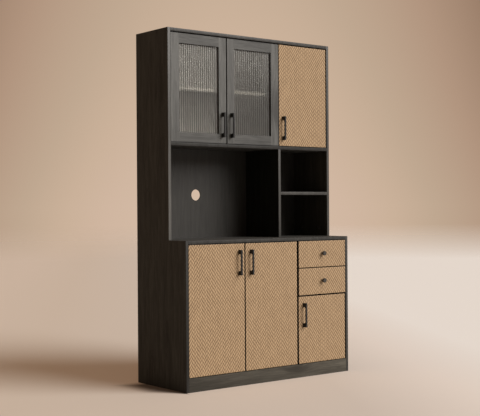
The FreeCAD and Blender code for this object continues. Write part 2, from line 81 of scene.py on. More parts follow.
# %% [markdown]
# ## From arrays to a piece
#
# Each new piece is worked out as an array of points and an array of faces. Blender could also build shapes
# with its own primitives and operators, but arrays keep the formula in sight and give the same mesh on each
# run. A helper turns them into an object that rides on one body of the frame. It also counts the edges that
# don't lie between exactly two faces: a closed skin has none.

# %% Helpers that make a piece
SHARP_DEGREES = 32


def open_edges(faces):
    """How many edges are not shared by exactly two faces."""
    pairs = np.concatenate([np.stack([face, np.roll(face, -1)], axis=1) for face in map(np.array, faces)])
    return int((np.unique(np.sort(pairs, axis=1), axis=0, return_counts=True)[1] != 2).sum())


def make_piece(name, points, faces, body, slot):
    """A mesh object with its place in its points, riding on a body; sharp only where faces meet steeply."""
    mesh = bpy.data.meshes.new(name)
    mesh.from_pydata(np.asarray(points).tolist(), [], faces)
    mesh.shade_smooth()
    mesh.set_sharp_from_angle(angle=np.radians(SHARP_DEGREES))
    piece = bpy.data.objects.new(name, mesh)
    bpy.context.scene.collection.objects.link(piece)
    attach(piece, body)
    print(f"{name}: {len(points)} points, {len(faces)} faces, {open_edges(faces)} open edges")
    return piece


def grid_quads(rows, columns):
    """Quads of a grid of points that are counted row by row."""
    low = (np.arange(rows - 1)[:, None] * columns + np.arange(columns - 1)[None, :]).ravel()
    return np.stack([low, low + 1, low + columns + 1, low + columns], axis=1)


def join_shapes(shapes):
    """Several (points, faces) pairs as one, with the faces counted on."""
    starts = np.cumsum([0] + [len(points) for points, faces in shapes])
    points = np.concatenate([points for points, faces in shapes])
    faces = [[corner + start for corner in face] for (_, some), start in zip(shapes, starts) for face in some]
    return points, faces


print("edges stay sharp from", SHARP_DEGREES, "degrees")

# %% [markdown]
# ## A relief on a flat face
#
# Many details of this cabinet are low reliefs on a flat board: the woven door faces, the edge bands, the
# strike plates. A relief is a height over a grid of X and Z. The border of the grid is let into the board a
# little, and a fan of triangles closes it behind, so that each relief is a closed thin plate.

# %% A closed relief plate that faces the front
LET_IN = 0.0004


def relief_plate(x, z, height, face):
    """Points at (x, face - height, z) on a grid, a rim let into the face, and a fan behind it."""
    rows, columns = x.shape
    front = np.stack([x, face - height, z], axis=-1).reshape(-1, 3)
    index = np.arange(rows * columns).reshape(rows, columns)
    ring = np.concatenate([index[0, :-1], index[:-1, -1], index[-1, :0:-1], index[:0:-1, 0]])
    rim = front[ring] * [1, 0, 1] + [0, face + LET_IN, 0]
    middle = rim.mean(axis=0, keepdims=True)
    back = len(front) + np.arange(len(ring))
    after = np.roll(back, -1)
    skirt = np.stack([ring, back, after, np.roll(ring, -1)], axis=1)
    fan = np.stack([after, back, np.full_like(back, len(front) + len(ring))], axis=1)
    faces = grid_quads(rows, columns).tolist() + skirt.tolist() + fan.tolist()
    return np.concatenate([front, rim, middle]), faces


print("the rim of a relief is let in", LET_IN, "m")

# %% [markdown]
# ## The woven faces
#
# The tan doors and drawers have a herringbone face: steep strands in narrow upright columns, which slant the
# other way from one column to the next. A picture of it on a flat board would look painted on. Here the
# strands are real. Each column is a strip of its own, whose rows of points run along the strands. Rows that
# would start below the door or end above it are cut off level there: their points fall onto the border, are
# merged, and faces without area vanish. Two attributes go with the points, the count of columns and of
# strands, so that the finish can follow the weave. On four fronts the weave stops a little short of the foot
# or the head. The board's front shows there, painted nearly black as a painted shadow, and the gap beside it
# looks as wide as a real one with its shadow.

# %% Strips with slanted rows, cut off level
COLUMN, STRAND, SLOPE = 0.0155, 0.0213, 1.5
SWELL, EASED = 0.0009, 0.0016
ROUND_ALONG, ROUND_ACROSS = 3, 6
STRAND_STEPS = 6
ACROSS = np.array([0, 0.08, 0.26, 0.74, 0.92, 1])


def woven_points(wide, tall):
    """Places and heights of strips of strands on a face of this size.

    Row r of a strip lies at z = r * step + rise, where rise grows across the strip, or falls in every second
    one, and is cut off at 0 and at the top. The strand count is (z - rise) / strand, and half a strand more
    in every second strip. The height swells between whole counts and dips at the borders of a strip.
    """
    strips = round(wide / COLUMN)
    width, step = wide / strips, STRAND / STRAND_STEPS
    rows = np.arange(-np.ceil(SLOPE * width / step), np.ceil(tall / step) + 1)
    strip, row, share = np.meshgrid(np.arange(strips), rows, ACROSS, indexing="ij")
    odd = strip % 2
    rise = SLOPE * width * np.where(odd, 1 - share, share)
    z = np.clip(row * step + rise, 0, tall)
    strand = (z - rise) / STRAND + odd / 2
    swell = 1 - np.abs(2 * (strand % 1) - 1) ** ROUND_ALONG
    swell = swell * (1 - np.abs(2 * share - 1) ** ROUND_ACROSS)
    height = SWELL * swell * np.clip(np.minimum(z, tall - z) / EASED, 0, 1)
    return (strip + share) * width, z, height, strip + share, strand


print("columns", COLUMN, "m wide, strands", STRAND, "m apart and", SWELL, "m high")

# %% Close the strips
MERGE_STEPS = 1e7


def close_strips(x, z, height, face):
    """Closed plates that face the front; also returns which of the given points were kept.

    Points at one place along one line of a strip are merged. A border edge is one that no face uses the other
    way round; each gets a quad back to the rim, and a triangle to the middle of its strip closes the back.
    """
    strips, rows, across = x.shape
    line = np.arange(strips)[:, None, None] * across + np.arange(across) + np.zeros((1, rows, 1))
    key = np.stack([line.ravel(), np.round(z.ravel() * MERGE_STEPS)], axis=1)
    _, kept, merged = np.unique(key, axis=0, return_index=True, return_inverse=True)
    count = len(kept)
    corners = merged.ravel()[(np.arange(strips)[:, None, None] * rows * across
                              + grid_quads(rows, across)).reshape(-1, 4)]
    triangles = np.concatenate([corners[:, [0, 1, 2]], corners[:, [0, 2, 3]]])
    triangles = triangles[(triangles != np.roll(triangles, -1, axis=1)).all(axis=1)]
    starts, ends = triangles.ravel(), np.roll(triangles, -1, axis=1).ravel()
    border = ~np.isin(ends * count + starts, starts * count + ends)
    starts, ends = starts[border], ends[border]
    ring = np.unique(starts)
    behind = np.zeros(count, int)
    behind[ring] = count + np.arange(len(ring))
    front = np.stack([x, face - height, z], axis=-1).reshape(-1, 3)[kept]
    middles = np.stack([x.mean(axis=(1, 2)), np.full(strips, face + LET_IN), z.mean(axis=(1, 2))], axis=1)
    middle = count + len(ring) + (key[kept, 0] // across).astype(int)
    skirt = np.stack([ends, starts, behind[starts], behind[ends]], axis=1)
    fan = np.stack([behind[ends], behind[starts], middle[starts]], axis=1)
    rim = front[ring] * [1, 0, 1] + [0, face + LET_IN, 0]
    return np.concatenate([front, rim, middles]), triangles.tolist() + skirt.tolist() + fan.tolist(), kept


print("points within", 1 / MERGE_STEPS, "m are merged")

# %% Herringbone relief for six faces
WOVEN = {"base_left_door_panel": "base_left_door", "base_middle_door_panel": "base_middle_door",
         "base_right_door_panel": "base_right_door", "hutch_right_door_panel": "hutch_right_door",
         "upper_drawer_front": "upper_drawer", "lower_drawer_front": "lower_drawer"}
# Where the weave stops short, the board's black front shows as a painted shadow line.
BARE_FOOT = {"hutch_right_door": 0.0013}
BARE_HEAD = {"base_left_door": 0.0022, "base_middle_door": 0.0022, "upper_drawer": 0.0014}


def add_attribute(piece, name, values):
    """Store one number per point; points beyond the given ones take 0."""
    filled = np.zeros(len(piece.data.vertices), np.float32)
    filled[:values.size] = values.ravel()
    piece.data.attributes.new(name, "FLOAT", "POINT").data.foreach_set("value", filled)


woven_faces = []
for node, body in WOVEN.items():
    low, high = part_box(node)
    foot, head = BARE_FOOT.get(body, 0), BARE_HEAD.get(body, 0)
    x, z, height, column, strand = woven_points(high.x - low.x, high.z - low.z - foot - head)
    points, faces, kept = close_strips(low.x + x, low.z + foot + z, height, low.y)
    face = make_piece(f"{body}_woven_face", points, faces, body, "woven_panel")
    add_attribute(face, "column", column.ravel()[kept])
    add_attribute(face, "strand", strand.ravel()[kept])
    woven_faces.append(face)

# %% [markdown]
# ## The ribbed panes
#
# Reeded glass is rolled: round upright ribs stand side by side on its front. A bump on a flat pane would not
# bend what lies behind it, so the ribs are real. Each is a shallow arch; the pane is one strip of sections
# from left to right, four points each, closed at both ends. How far a point lies up its arch is stored as an
# attribute for the finish. The new panes take the place of the flat ones.

# %% Two ribbed panes
RIB = 0.0133
RIB_HEIGHT = 0.0019
RIB_STEPS = 12


def ribbed_pane(low, high):
    """Front y = low + rib height * (2 t - 1)^2 with t the place across one rib; the back is flat.

    Returns points, faces, and how far up its rib each point lies, 1 - (2 t - 1)^2.
    """
    ribs = round((high.x - low.x) / RIB)
    t = np.linspace(0, ribs, ribs * RIB_STEPS + 1)
    x = low.x + (high.x - low.x) * t / ribs
    down = (2 * (t % 1) - 1) ** 2
    front = low.y + RIB_HEIGHT * down
    rear, foot, head = np.full_like(x, high.y), np.full_like(x, low.z), np.full_like(x, high.z)
    loop = [(x, front, foot), (x, front, head), (x, rear, head), (x, rear, foot), (x, front, foot)]
    rows = len(loop) - 1
    points = np.stack([np.stack(line, axis=-1) for line in loop[:rows]]).reshape(-1, 3)
    around = grid_quads(len(loop), len(x)) % (rows * len(x))
    ends = np.arange(rows) * len(x)
    faces = around.tolist() + [ends.tolist(), (ends[::-1] + len(x) - 1).tolist()]
    return points, faces, np.tile(1 - down, rows)


ribbed_panes = {}
for body in ("hutch_left_door", "hutch_middle_door"):
    points, faces, crown = ribbed_pane(*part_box(f"{body}_pane"))
    pane = make_piece(f"{body}_ribbed_pane", points, faces, body, "reeded_glass")
    add_attribute(pane, "crown", crown)
    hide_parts(f"{body}_pane")
    ribbed_panes[body] = pane

# %% [markdown]
# ## Edge bands
#
# A laminated board shows a raw core where it is cut, so its front edge is covered with a thin band whose
# long edges are eased. A bevel on the boards would need their own meshes changed; a band is what the real
# board has, and it catches a thin line of light along both edges. Each band has a tone of its own, stored
# as an attribute: painted light, lighter or darker as the light falls on that edge. The tall one at the left
# of the hutch has a painted highlight, brightest at its foot. The loose shelf behind the glass has a bright
# strip instead.

# %% Bands on the front edges of the boards
BAND = 0.0005
BAND_EASE = np.array([0, 0.0003, 0.0009])
# Painted light: each band's tone stands in for how brightly its edge is lit.
BANDED = {"base_left_side": 0.45, "base_right_side": 0.66, "base_top": 0.56, "base_divider": 0.4,
          "base_drawer_deck": 0.4, "base_shelf": 0.5, "hutch_left_side": (1.6, 0.94, 0.95),
          "hutch_right_side": 0.8, "hutch_top": 0.7, "hutch_deck": 0.45, "hutch_upper_divider": 0.5,
          "hutch_lower_divider": 0.75, "hutch_open_shelf": 0.77, "hutch_right_shelf": 0.5}


def band(low, high):
    """A flat strip over a board's front edge: full height inside, and rounded off along its border."""
    def marks(start, end):
        return np.concatenate([start + BAND_EASE, [(start + end) / 2], end - BAND_EASE[::-1]])
    x, z = np.meshgrid(marks(low.x, high.x), marks(low.z, high.z))
    border = np.minimum(np.minimum(x - low.x, high.x - x), np.minimum(z - low.z, high.z - z))
    height = BAND * np.sqrt(np.clip(1 - (1 - border / BAND_EASE[-1]).clip(0) ** 2, 0, 1))
    return relief_plate(x, z, height, low.y)


def band_tone(points, tone):
    """One tone for all points, or three tones: at the foot, halfway up and at the head."""
    z = points[:, 2]
    return np.interp(z, np.linspace(z.min(), z.max(), 3), np.broadcast_to(tone, 3))


bands = [band(*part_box(node)) for node in BANDED]
edge_bands = make_piece("board_edge_bands", *join_shapes(bands), "carcase", "charcoal_board")
tones = [band_tone(points, tone) for (points, _), tone in zip(bands, BANDED.values())]
add_attribute(edge_bands, "tone", np.concatenate(tones))
shelf_strip = make_piece("hutch_left_shelf_strip", *band(*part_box("hutch_left_shelf")), "carcase", "steel")

# %% [markdown]
# ## Round fittings
#
# Screw heads, cam faces and cover caps are all low round reliefs: a height over rings and spokes, with a pole
# in the middle. A lathe would leave out the cross that a screwdriver fits, so the height is a dome minus a
# cross. One such shape is copied to every place it is needed, turned to face the way that its board faces.

# %% Round reliefs and where they face
SPOKES = 24
FACING = {"back": Matrix.Rotation(np.pi, 3, "Z"), "down": Matrix.Rotation(np.pi / 2, 3, "X"),
          "left": Matrix.Rotation(-np.pi / 2, 3, "Z"), "right": Matrix.Rotation(np.pi / 2, 3, "Z")}


def round_relief(radius, shares, height):
    """A disc that faces the front: points at (r cos a, -height(r, a), r sin a), a pole, and a fan behind."""
    share, angle = np.meshgrid(shares, np.arange(SPOKES) * 2 * np.pi / SPOKES, indexing="ij")
    x, z = radius * share * np.cos(angle), radius * share * np.sin(angle)
    rings = np.stack([x, -height(share, angle), z], axis=-1).reshape(-1, 3)
    pole, under = len(rings), len(rings) + 1
    ends = [[0, -float(height(np.zeros(1), np.zeros(1))[0]), 0], [0, LET_IN, 0]]
    spoke = np.arange(SPOKES)
    after = (spoke + 1) % SPOKES
    start = np.arange(len(shares) - 1)[:, None] * SPOKES
    quads = np.stack([start + spoke, start + SPOKES + spoke, start + SPOKES + after, start + after], axis=-1)
    outer = (len(shares) - 1) * SPOKES
    tip = np.stack([np.full(SPOKES, pole), spoke, after], axis=1)
    base = np.stack([np.full(SPOKES, under), outer + after, outer + spoke], axis=1)
    return np.concatenate([rings, ends]), quads.reshape(-1, 4).tolist() + tip.tolist() + base.tolist()


def copies(shape, spots, facing):
    """One round relief at many spots, turned from the front to the way that they face."""
    points, faces = shape
    turned = points @ np.array(FACING[facing]).T
    return join_shapes([(turned + np.array(spot), faces) for spot in spots])


print("round reliefs turn to face", list(FACING))

# %% Screw heads and cam faces
RINGS = np.array([0.12, 0.3, 0.42, 0.55, 0.7, 0.88, 1.0])
CROSS_END, CROSS_WALL = 0.12, 0.08
PAN_HEAD = {"radius": 0.0042, "rise": 0.0019, "depth": 0.0012, "reach": 0.6, "arm": 0.14}
SMALL_HEAD = {"radius": 0.0034, "rise": 0.0011, "depth": 0.0008, "reach": 0.6, "arm": 0.15}
CAM_FACE = {"radius": 0.0073, "rise": 0.0003, "depth": 0.0016, "reach": 0.62, "arm": 0.13}


def crossed_head(radius, rise, depth, reach, arm):
    """Dome rise * (1 - r^4), less a cross: near the two axes and within reach it goes down by depth."""
    def height(share, angle):
        off_axis = share * np.minimum(np.abs(np.sin(angle)), np.abs(np.cos(angle)))
        cross = np.clip((reach - share) / CROSS_END, 0, 1) * np.clip((arm - off_axis) / CROSS_WALL, 0, 1)
        return rise * (1 - share ** 4) - depth * cross
    return round_relief(radius, RINGS, height)


pan_head, small_head, cam_face = [crossed_head(**sizes) for sizes in (PAN_HEAD, SMALL_HEAD, CAM_FACE)]
print("a screw head has", len(pan_head[1]), "faces")

# %% [markdown]
# ## Fittings of the carcase
#
# Cam faces lie under the boards that the cams draw to the sides. Screws hold the two thin backs to the boards
# behind which they sit, and the tie plates in their places. Two round covers on each side of the hutch hide
# the bolts that hold it down on the base. All places are read from the boards' own boxes.

# %% Cam faces and covers
CAM_INSET, CAM_SHARES = 0.024, (0.2, 0.8)
COVER_RADIUS, COVER_RISE, COVER_FALL = 0.0085, 0.0016, 0.98
COVER_LEVEL, COVER_SHARES = 0.042, (0.25, 0.75)
COVER_RINGS = np.array([0.3, 0.6, 0.8, 0.92, 1.0])

spots = []
for node in ("base_top", "base_bottom", "hutch_top", "hutch_deck"):
    low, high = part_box(node)
    spots += [(x, low.y + (high.y - low.y) * share, low.z)
              for x in (low.x + CAM_INSET, high.x - CAM_INSET) for share in CAM_SHARES]
cam_faces = make_piece("cam_faces", *copies(cam_face, spots, "down"), "carcase", "zinc")


def cover_height(share, angle):
    """Rise * sqrt(1 - fall * r^6): flat in the middle, and round towards the rim."""
    return COVER_RISE * np.sqrt(1 - COVER_FALL * share ** 6)


cover = round_relief(COVER_RADIUS, COVER_RINGS, cover_height)
covers = []
for node, facing, inner in (("hutch_left_side", "right", 1), ("hutch_right_side", "left", 0)):
    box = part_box(node)
    low, high = box
    covers.append(copies(cover, [(box[inner].x, low.y + (high.y - low.y) * share, low.z + COVER_LEVEL)
                                 for share in COVER_SHARES], facing))
bolt_covers = make_piece("bolt_covers", *join_shapes(covers), "carcase", "black_plastic")

# %% Screws in the backs and the tie plates
BACK_PITCH, INSET_LYING, INSET_STANDING = 0.15, 0.03, 0.07
TIE_HALF, TIE_OUTER, TIE_INNER = 0.007, 0.01, 0.03
back_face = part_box("hutch_back_panel")[1].y
spots = []
for node in ("base_top", "base_bottom", "base_drawer_deck", "hutch_top", "hutch_deck", "hutch_open_shelf"):
    low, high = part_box(node)
    count = int((high.x - low.x) / BACK_PITCH) + 1
    spots += [(x, back_face, (low.z + high.z) / 2)
              for x in np.linspace(low.x + INSET_LYING, high.x - INSET_LYING, count)]
for node in ("base_divider", "hutch_lower_divider", "hutch_upper_divider"):
    low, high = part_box(node)
    count = int((high.z - low.z) / BACK_PITCH)
    spots += [((low.x + high.x) / 2, back_face, z)
              for z in np.linspace(low.z + INSET_STANDING, high.z - INSET_STANDING, count)]
low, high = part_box("tie_plates")
spots += [(x, high.y, z) for x in (low.x + TIE_HALF, high.x - TIE_HALF)
          for z in (low.z + TIE_OUTER, low.z + TIE_INNER, high.z - TIE_INNER, high.z - TIE_OUTER)]
back_screws = make_piece("back_screws", *copies(small_head, spots, "back"), "carcase", "steel")

# %% [markdown]
# ## Fittings of the doors and drawers
#
# Behind each handle two screws come through the door, and a thin strike plate sits where the magnet of the
# catch meets it. They ride on the door that they belong to, so that they swing with it. Each knob has one
# screw, inside its drawer.

# %% Screws and strike plates on the moving pieces
PLATE_HALF_X, PLATE_HALF_Z, PLATE_THICK = 0.019, 0.0035, 0.00015
PLATE_FROM_EDGE, PLATE_BELOW_TOP = 0.053, 0.0045
PLATE_MARKS_X, PLATE_MARKS_Z = 8, 6
POST_HALF = 0.0105
OPENS_AT = {"base_left_door": "right", "base_middle_door": "left", "base_right_door": "left",
            "hutch_left_door": "right", "hutch_middle_door": "left", "hutch_right_door": "left"}


def strike_plate(x, z, face):
    """A thin flat plate on the back of a door: a relief of one height, mirrored to face the back."""
    across, up = np.meshgrid(np.linspace(x - PLATE_HALF_X, x + PLATE_HALF_X, PLATE_MARKS_X),
                             np.linspace(z - PLATE_HALF_Z, z + PLATE_HALF_Z, PLATE_MARKS_Z))
    points, faces = relief_plate(across, up, np.full_like(across, PLATE_THICK), -face)
    return points * [1, -1, 1], [corners[::-1] for corners in faces]


door_fittings = []
for door, side in OPENS_AT.items():
    low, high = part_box(f"{door}_panel" if f"{door}_panel" in nodes else f"{door}_frame")
    grip_low, grip_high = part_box(f"{door}_handle")
    spots = [((grip_low.x + grip_high.x) / 2, high.y, z)
             for z in (grip_low.z + POST_HALF, grip_high.z - POST_HALF)]
    plate_x = high.x - PLATE_FROM_EDGE if side == "right" else low.x + PLATE_FROM_EDGE
    shapes = [copies(pan_head, spots, "back"), strike_plate(plate_x, high.z - PLATE_BELOW_TOP, high.y)]
    door_fittings.append(make_piece(f"{door}_screws", *join_shapes(shapes), door, "steel"))

for drawer in ("upper_drawer", "lower_drawer"):
    low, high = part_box(f"{drawer}_knob")
    spot = ((low.x + high.x) / 2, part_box(f"{drawer}_front")[1].y, (low.z + high.z) / 2)
    screw = copies(pan_head, [spot], "back")
    door_fittings.append(make_piece(f"{drawer}_knob_screw", *screw, drawer, "steel"))

# %% [markdown]
# ## Node helpers for the finishes
#
# A finish is a small graph of nodes that ends in one Principled shader. Writing each link by hand is long, so
# one helper adds a node and fills its sockets, with numbers or with other nodes' outputs. The others stand
# for the few kinds of nodes that all the finishes share.

# %% Helpers that add nodes


def set_sockets(tree, node, sockets):
    """Fill a node's sockets, each with a value of its own or with a link from another node's output."""
    for key, value in sockets.items():
        if isinstance(value, bpy.types.NodeSocket):
            tree.links.new(value, node.inputs[key])
        else:
            node.inputs[key].default_value = value


def add(tree, kind, sockets=None, **settings):
    """Add a shader node, set its properties, and fill its sockets; returns the node."""
    made = tree.nodes.new(f"ShaderNode{kind}")
    for key, value in settings.items():
        setattr(made, key, value)
    set_sockets(tree, made, sockets or {})
    return made


def maths(tree, operation, *values):
    """One Math node; returns its output."""
    return add(tree, "Math", dict(enumerate(values)), operation=operation).outputs[0]


def ramp(tree, value, *stops):
    """A colour ramp through (place, colour) stops; returns its colour output."""
    made = add(tree, "ValToRGB", {"Fac": value})
    band = made.color_ramp
    band.elements.remove(band.elements[-1])
    band.elements[0].position = stops[0][0]
    band.elements[0].color = (*stops[0][1], 1)
    for place, colour in stops[1:]:
        band.elements.new(place).color = (*colour, 1)
    return made.outputs["Color"]


def map_range(tree, value, start, end, first=0.0, last=1.0, smooth=False):
    """Carry a value from the range start to end over to first to last, evenly or eased; returns a number."""
    sockets = {"Value": value, "From Min": start, "From Max": end, "To Min": first, "To Max": last}
    kind = "SMOOTHSTEP" if smooth else "LINEAR"
    return add(tree, "MapRange", sockets, interpolation_type=kind).outputs["Result"]


def own_place(tree):
    """The point in the object's own coordinates."""
    return add(tree, "TexCoord").outputs["Object"]


def parts(tree, place):
    """X, Y and Z of a point or a direction."""
    return add(tree, "SeparateXYZ", {0: place}).outputs


def scaled(tree, colour, factor):
    """A colour times a number."""
    return add(tree, "VectorMath", {0: colour, "Scale": factor}, operation="SCALE").outputs[0]


print("nodes of Blender", bpy.app.version_string)

# %% Helpers that make a finish
NOISE_LOW, NOISE_HIGH = 0.3, 0.7


def noise(tree, place, scale, detail=4.0, roughness=0.6):
    """Fractal noise at a place; returns a number about 0.5."""
    sockets = {"Vector": place, "Scale": scale, "Detail": detail, "Roughness": roughness}
    return add(tree, "TexNoise", sockets).outputs["Fac"]


def spread(tree, value, low, high):
    """Stretch the middle of a noise to the range from low to high; returns a number."""
    return map_range(tree, value, NOISE_LOW, NOISE_HIGH, low, high)


def new_finish(name):
    """An empty material; returns it with its node tree and its Principled shader."""
    made = bpy.data.materials.new(name)
    made.use_nodes = True
    return made, made.node_tree, made.node_tree.nodes["Principled BSDF"]


def bump(tree, height, strength, distance):
    """A normal tilted by a height."""
    sockets = {"Height": height, "Strength": strength, "Distance": distance}
    return add(tree, "Bump", sockets).outputs["Normal"]


def scale_colour(finish, factor):
    """Multiply a finish's colour by a number that its own nodes work out."""
    tree, shader = finish.node_tree, finish.node_tree.nodes["Principled BSDF"]
    full = shader.inputs["Base Color"].links[0].from_socket
    set_sockets(tree, shader, {"Base Color": scaled(tree, full, factor)})


def shade_along(finish, axis, start, end, first, last):
    """Multiply a finish's colour by a number that goes from first to last along X, Y or Z (0, 1 or 2)."""
    tree = finish.node_tree
    along = parts(tree, own_place(tree))[axis]
    scale_colour(finish, map_range(tree, along, start, end, first, last))


print("noises are used from", NOISE_LOW, "to", NOISE_HIGH)

# %% [markdown]
# ## Wood grain
#
# The boards have a dark stained wood grain. It is made in three layers, all stretched along the grain: a
# broad figure with rings, fine fibres, and a few knots that the figure flows round. Boards that stand have
# the grain upright, boards that lie have it from left to right. On a frame of stiles and rails the rails lie,
# so there the grain turns between the stiles. A scanned picture of wood would repeat from board to board.

# %% Where the grain runs and how it shades
KNOT_CELLS, KNOT_CORE, KNOT_RIM, KNOT_BEND = (7.0, 7.0, 2.2), 0.05, 0.3, 0.05
FIGURE_SCALE, FIGURE_STRETCH = 42.0, (1, 1, 0.07)
FIBRE_SCALE, FIBRE_STRETCH = 420.0, (1, 1, 0.022)
RING_COUNT = 46.0
RING_SHARE, FIGURE_SHARE, FIBRE_SHARE = 0.09, 0.45, 0.4


def grain_place(tree, lying, rails):
    """Points with the grain along Z: turned on a lying board, and on a frame between its stiles.

    Rails are (middle x, half width). Also returns 1 between the stiles, or None for a plain board.
    """
    place = own_place(tree)
    if not lying and not rails:
        return place, None
    x, y, z = parts(tree, place)
    turned = add(tree, "CombineXYZ", {0: z, 1: y, 2: x}).outputs[0]
    if lying:
        return turned, None
    across = maths(tree, "ABSOLUTE", maths(tree, "SUBTRACT", x, rails[0]))
    between = maths(tree, "LESS_THAN", across, rails[1])
    mixed = add(tree, "Mix", {"Factor": between, 4: place, 5: turned}, data_type="VECTOR")
    return mixed.outputs[1], between


def grain_shade(tree, place, knots):
    """Rings, figure and fibres added up, less the knots, from dark to light; also returns the fibres."""
    cells = add(tree, "Mapping", {"Vector": place, "Scale": KNOT_CELLS}).outputs[0]
    away = add(tree, "TexVoronoi", {"Vector": cells, "Scale": 1.0, "Randomness": 1.0},
               feature="SMOOTH_F1").outputs["Distance"]
    knot = map_range(tree, away, KNOT_CORE, KNOT_RIM, knots, 0.0, smooth=True)
    pushed = add(tree, "CombineXYZ", {0: maths(tree, "MULTIPLY", knot, KNOT_BEND)}).outputs[0]
    bent = add(tree, "VectorMath", {0: place, 1: pushed}, operation="ADD").outputs[0]
    broad = add(tree, "Mapping", {"Vector": bent, "Scale": FIGURE_STRETCH}).outputs[0]
    figure = noise(tree, broad, FIGURE_SCALE, detail=3.0, roughness=0.55)
    thin = add(tree, "Mapping", {"Vector": bent, "Scale": FIBRE_STRETCH}).outputs[0]
    fibre = noise(tree, thin, FIBRE_SCALE, detail=3.0, roughness=0.65)
    rings = maths(tree, "SINE", maths(tree, "MULTIPLY", figure, RING_COUNT))
    shade = maths(tree, "MULTIPLY", spread(tree, fibre, 0.0, 1.0), FIBRE_SHARE)
    shade = maths(tree, "MULTIPLY_ADD", spread(tree, figure, 0.0, 1.0), FIGURE_SHARE, shade)
    shade = maths(tree, "MULTIPLY_ADD", rings, RING_SHARE, shade)
    return maths(tree, "SUBTRACT", shade, knot), fibre


print("fibres are stretched", round(1 / FIBRE_STRETCH[2]), "times along the grain")

# %% A wood grain finish
MIDDLE_TONE, LIGHT_TONE = 0.45, 0.95
RAIL_DARKER = 0.17
FLAT_ON = 0.5


def plain_faces(tree, backed, shadow_lines):
    """1 on faces that look to the front or the back, or only to the back on a backed board; 0 elsewhere.

    With shadow_lines it is also 0 below the first and above the second of two heights, as painted shadow.
    """
    to_back = parts(tree, add(tree, "TexCoord").outputs["Normal"])[1]
    plain = maths(tree, "GREATER_THAN", to_back if backed else maths(tree, "ABSOLUTE", to_back), FLAT_ON)
    if shadow_lines:
        height = parts(tree, own_place(tree))[2]
        plain = maths(tree, "MULTIPLY", plain, maths(tree, "GREATER_THAN", height, shadow_lines[0]))
        plain = maths(tree, "MULTIPLY", plain, maths(tree, "LESS_THAN", height, shadow_lines[1]))
    return plain


def grain_finish(name, tones, lying=False, rails=None, rough=(0.42, 0.6), shine=0.5, knots=0.5, edges=None,
                 backed=False, shadow_lines=None):
    """Stained grain: three tones from the darkest fibre to the lightest.

    With edges, two darker tones, the faces that are not plain take those instead.
    """
    made, tree, shader = new_finish(name)
    place, between = grain_place(tree, lying, rails)
    shade, fibre = grain_shade(tree, place, knots)
    if rails:
        shade = maths(tree, "SUBTRACT", shade, maths(tree, "MULTIPLY", between, RAIL_DARKER))
    colour = ramp(tree, shade, (0.0, tones[0]), (MIDDLE_TONE, tones[1]), (LIGHT_TONE, tones[2]))
    if edges:
        dark_edges = ramp(tree, shade, (0.0, edges[0]), (LIGHT_TONE, edges[1]))
        colour = add(tree, "Mix", {0: plain_faces(tree, backed, shadow_lines), 6: dark_edges, 7: colour},
                     data_type="RGBA").outputs[2]
    set_sockets(tree, shader, {"Base Color": colour, "Specular IOR Level": shine,
                               "Roughness": spread(tree, fibre, rough[1], rough[0]),
                               "Normal": bump(tree, shade, strength=0.35, distance=0.0004)})
    return made


print("tones lie at 0,", MIDDLE_TONE, "and", LIGHT_TONE, "of the shade")

# %% [markdown]
# ## Charcoal boards, bands and frames
#
# The boards are all of one charcoal stain, and their tones differ as painted light and shade. The standing
# boards are painted darker and browner, as a side in shade looks; the foot is warm; the frames of the glass
# doors are painted lighter and greyer, as lit faces; an inner face that hardly sees light is painted nearly
# black. Each kind has its own three tones. A band takes its painted tone from the attribute that was stored
# with it. The foot is painted lighter to the right, and a part of each frame is painted a little darker than
# the rest, as painted light and shade. The frames' rebates are dark, and a thin line along their foot and
# head is painted dark, a painted shadow line.

# %% Charcoal finishes
MATT = (0.5, 0.66)
CHARCOAL = ((0.023, 0.0214, 0.0188), (0.0482, 0.046, 0.0415), (0.08, 0.0765, 0.07))
SHADED = ((0.0152, 0.0129, 0.0098), (0.0345, 0.0301, 0.0236), (0.0557, 0.0497, 0.0394))
INNER = ((0.005, 0.0052, 0.0038), (0.0105, 0.0108, 0.0082), (0.018, 0.0184, 0.0142))
FOOT = ((0.021, 0.0183, 0.0142), (0.0435, 0.0385, 0.0305), (0.071, 0.0635, 0.0515))
FOOT_PAINTED_LEFT, FOOT_PAINTED_RIGHT = 0.83, 2.05
BAND_SHINE = 0.5
# Painted shade: standing boards take darker, browner tones than lying ones, as a side in shade looks.
charcoal_upright = grain_finish("charcoal_upright", SHADED, rough=MATT, shine=0.16, knots=0.2)
# Painted shade: an inner face that hardly sees light takes nearly black tones.
charcoal_inner = grain_finish("charcoal_inner", INNER, rough=MATT, shine=0.1)
charcoal_lying = grain_finish("charcoal_lying", CHARCOAL, lying=True, rough=MATT, shine=0.3)
charcoal_foot = grain_finish("charcoal_foot", FOOT, lying=True, rough=MATT, shine=0.16)
charcoal_band = grain_finish("charcoal_band", CHARCOAL, rough=(0.36, 0.5), knots=0.0)

# Painted light: the foot is painted lighter towards its right end.
low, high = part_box("base_plinth")
shade_along(charcoal_foot, 0, low.x, high.x, FOOT_PAINTED_LEFT, FOOT_PAINTED_RIGHT)
tree, shader = charcoal_band.node_tree, charcoal_band.node_tree.nodes["Principled BSDF"]
# The tone attribute is painted light: it scales the band's colour, and its shine with it.
tone = add(tree, "Attribute", attribute_name="tone").outputs["Fac"]
scale_colour(charcoal_band, tone)
set_sockets(tree, shader, {"Specular IOR Level": maths(tree, "MULTIPLY", tone, BAND_SHINE)})
own_finish = {"base_plinth": charcoal_foot, "hutch_lower_divider": charcoal_inner}
print("nodes in the finish of the bands:", len(tree.nodes))
